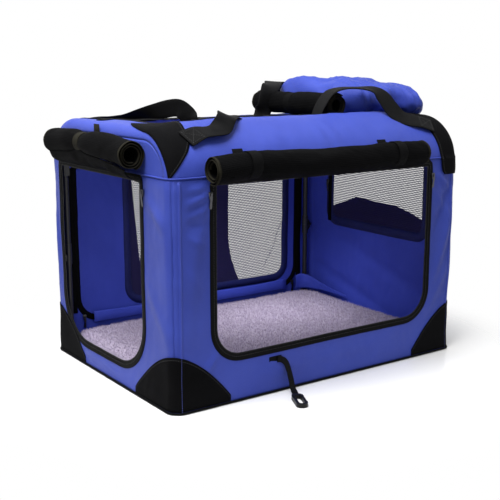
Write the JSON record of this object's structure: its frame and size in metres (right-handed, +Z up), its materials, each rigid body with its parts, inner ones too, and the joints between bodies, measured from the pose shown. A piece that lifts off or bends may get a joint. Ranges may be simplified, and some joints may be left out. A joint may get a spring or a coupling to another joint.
{
  "type": "soft pet carrier",
  "caption": "Soft folding pet carrier: blue fabric over a folding steel tube frame, with zipped doorways rolled open, mesh windows, webbing handles and a plush mat.",
  "frame": {"origin": "middle of the underside of the bottom cover, on the surface it stands on", "axes": "+X along the long side towards the end with the window, -Y out of the large front doorway, +Z up"},
  "size_m": [0.7616, 0.5981, 0.574],
  "materials": {
    "blue_fabric": "matte woven polyester",
    "black_fabric": "matte woven polyester",
    "zip_tape": "ribbed zip tape and binding",
    "black_mesh": "open knitted mesh",
    "webbing": "woven nylon strap",
    "fleece": "short plush pile",
    "board": "plain sheet",
    "steel_tube": "black powder coat",
    "slider_metal": "plated zinc",
    "black_plastic": "moulded"
  },
  "bodies": {
    "base": {"base_frame": "steel_tube", "floor_board": "board", "bottom_cover": "black_fabric", "pet_mat": "fleece", "bottom_piping": "black_fabric", "front_wall": "blue_fabric", "back_wall": "blue_fabric", "left_wall": "blue_fabric", "right_wall": "blue_fabric", "front_left_corner_patch": "black_fabric", "front_right_corner_patch": "black_fabric", "back_right_corner_patch": "black_fabric", "back_left_corner_patch": "black_fabric", "front_doorway_zip": "zip_tape", "left_doorway_zip": "zip_tape", "back_doorway_zip": "zip_tape", "right_window_mesh": "black_mesh", "right_window_cover": "blue_fabric", "tether_tab": "webbing"},
    "top": {"left_arch_tube": "steel_tube", "right_arch_tube": "steel_tube", "front_top_rail": "steel_tube", "back_top_rail": "steel_tube", "roof_cover": "blue_fabric", "roof_doorway_zip": "zip_tape", "front_left_handle_patch": "black_fabric", "front_right_handle_patch": "black_fabric", "back_left_handle_patch": "black_fabric", "back_right_handle_patch": "black_fabric", "front_door_roll": "black_mesh", "left_door_roll": "black_mesh", "top_door_roll": "black_mesh", "cover_bundle": "blue_fabric", "front_roll_left_tie": "webbing", "front_roll_right_tie": "webbing", "left_roll_tie": "webbing", "top_roll_tie": "webbing"},
    "left_lower_legs": {"front_left_lower_leg": "steel_tube", "back_left_lower_leg": "steel_tube"},
    "left_upper_legs": {"front_left_upper_leg": "steel_tube", "back_left_upper_leg": "steel_tube"},
    "right_lower_legs": {"front_right_lower_leg": "steel_tube", "back_right_lower_leg": "steel_tube"},
    "right_upper_legs": {"front_right_upper_leg": "steel_tube", "back_right_upper_leg": "steel_tube"},
    "front_handle": {"front_handle": "webbing"},
    "back_handle": {"back_handle": "webbing"},
    "back_door": {"back_door_frame": "blue_fabric", "back_door_mesh": "black_mesh", "back_door_cover": "blue_fabric"},
    "front_left_slider": {"front_left_slider": "slider_metal"},
    "front_right_slider": {"front_right_slider": "slider_metal"},
    "left_door_slider": {"left_door_slider": "slider_metal"},
    "back_left_slider": {"back_left_slider": "slider_metal"},
    "back_right_slider": {"back_right_slider": "slider_metal"},
    "tether": {"tether_strap": "webbing", "snap_hook": "black_plastic"},
    "hook_gate": {"hook_gate": "black_plastic"}
  },
  "joints": [
    {"name": "fold", "type": "hinge", "parent": "base", "child": "left_lower_legs", "pos_m": [-0.325, 0, 0.034], "axis": [0, 1, 0], "range_deg": [0, 88], "deforming": ["front_wall", "back_wall", "left_wall", "right_wall", "front_left_corner_patch", "front_right_corner_patch", "back_right_corner_patch", "back_left_corner_patch", "front_doorway_zip", "left_doorway_zip", "back_doorway_zip", "right_window_mesh", "right_window_cover", "bottom_piping", "back_door_frame", "back_door_mesh", "back_door_cover"]},
    {"name": "left_knee", "type": "hinge", "parent": "left_lower_legs", "child": "left_upper_legs", "pos_m": [-0.3375, 0, 0.2095], "axis": [0, 1, 0], "range_deg": [-176, 0]},
    {"name": "top_level", "type": "hinge", "parent": "left_upper_legs", "child": "top", "pos_m": [-0.325, 0, 0.385], "axis": [0, 1, 0], "range_deg": [0, 88]},
    {"name": "right_leg_fold", "type": "hinge", "parent": "base", "child": "right_lower_legs", "pos_m": [0.325, 0, 0.034], "axis": [0, 1, 0], "range_deg": [-88, 0]},
    {"name": "right_knee", "type": "hinge", "parent": "right_lower_legs", "child": "right_upper_legs", "pos_m": [0.3375, 0, 0.2095], "axis": [0, 1, 0], "range_deg": [0, 176]},
    {"name": "front_handle_swing", "type": "hinge", "parent": "top", "child": "front_handle", "pos_m": [0, -0.233, 0.47], "axis": [1, 0, 0], "range_deg": [0, 105]},
    {"name": "back_handle_swing", "type": "hinge", "parent": "top", "child": "back_handle", "pos_m": [0, 0.233, 0.47], "axis": [-1, 0, 0], "range_deg": [0, 105]},
    {"name": "back_door_swing", "type": "hinge", "parent": "base", "child": "back_door", "pos_m": [0, 0.2475, 0.396], "axis": [-1, 0, 0], "range_deg": [-120, 0]},
    {"name": "front_left_slide", "type": "slide", "parent": "top", "child": "front_left_slider", "axis": [0, 0, 1], "range_m": [-0.24, 0]},
    {"name": "front_right_slide", "type": "slide", "parent": "top", "child": "front_right_slider", "axis": [0, 0, 1], "range_m": [-0.24, 0]},
    {"name": "left_door_slide", "type": "slide", "parent": "top", "child": "left_door_slider", "axis": [0, 0, 1], "range_m": [-0.22, 0]},
    {"name": "back_left_slide", "type": "slide", "parent": "base", "child": "back_left_slider", "axis": [-1, 0, 0], "range_m": [-0.26, 0]},
    {"name": "back_right_slide", "type": "slide", "parent": "base", "child": "back_right_slider", "axis": [1, 0, 0], "range_m": [-0.26, 0]},
    {"name": "tether_swing", "type": "hinge", "parent": "base", "child": "tether", "pos_m": [0, -0.2505, 0.0725], "axis": [-1, 0, 0], "range_deg": [0, 50]},
    {"name": "gate_swing", "type": "hinge", "parent": "tether", "child": "hook_gate", "pos_m": [-0.11474, -0.31502, 0.0045], "axis": [0, 0, -1], "range_deg": [0, 20], "stiffness_Nm_per_rad": 0.002}
  ],
  "couplings": [
    {"joint": "left_knee", "follows": "fold", "ratio": -2},
    {"joint": "top_level", "follows": "fold", "ratio": 1},
    {"joint": "right_leg_fold", "follows": "fold", "ratio": -1},
    {"joint": "right_knee", "follows": "fold", "ratio": 2}
  ]
}
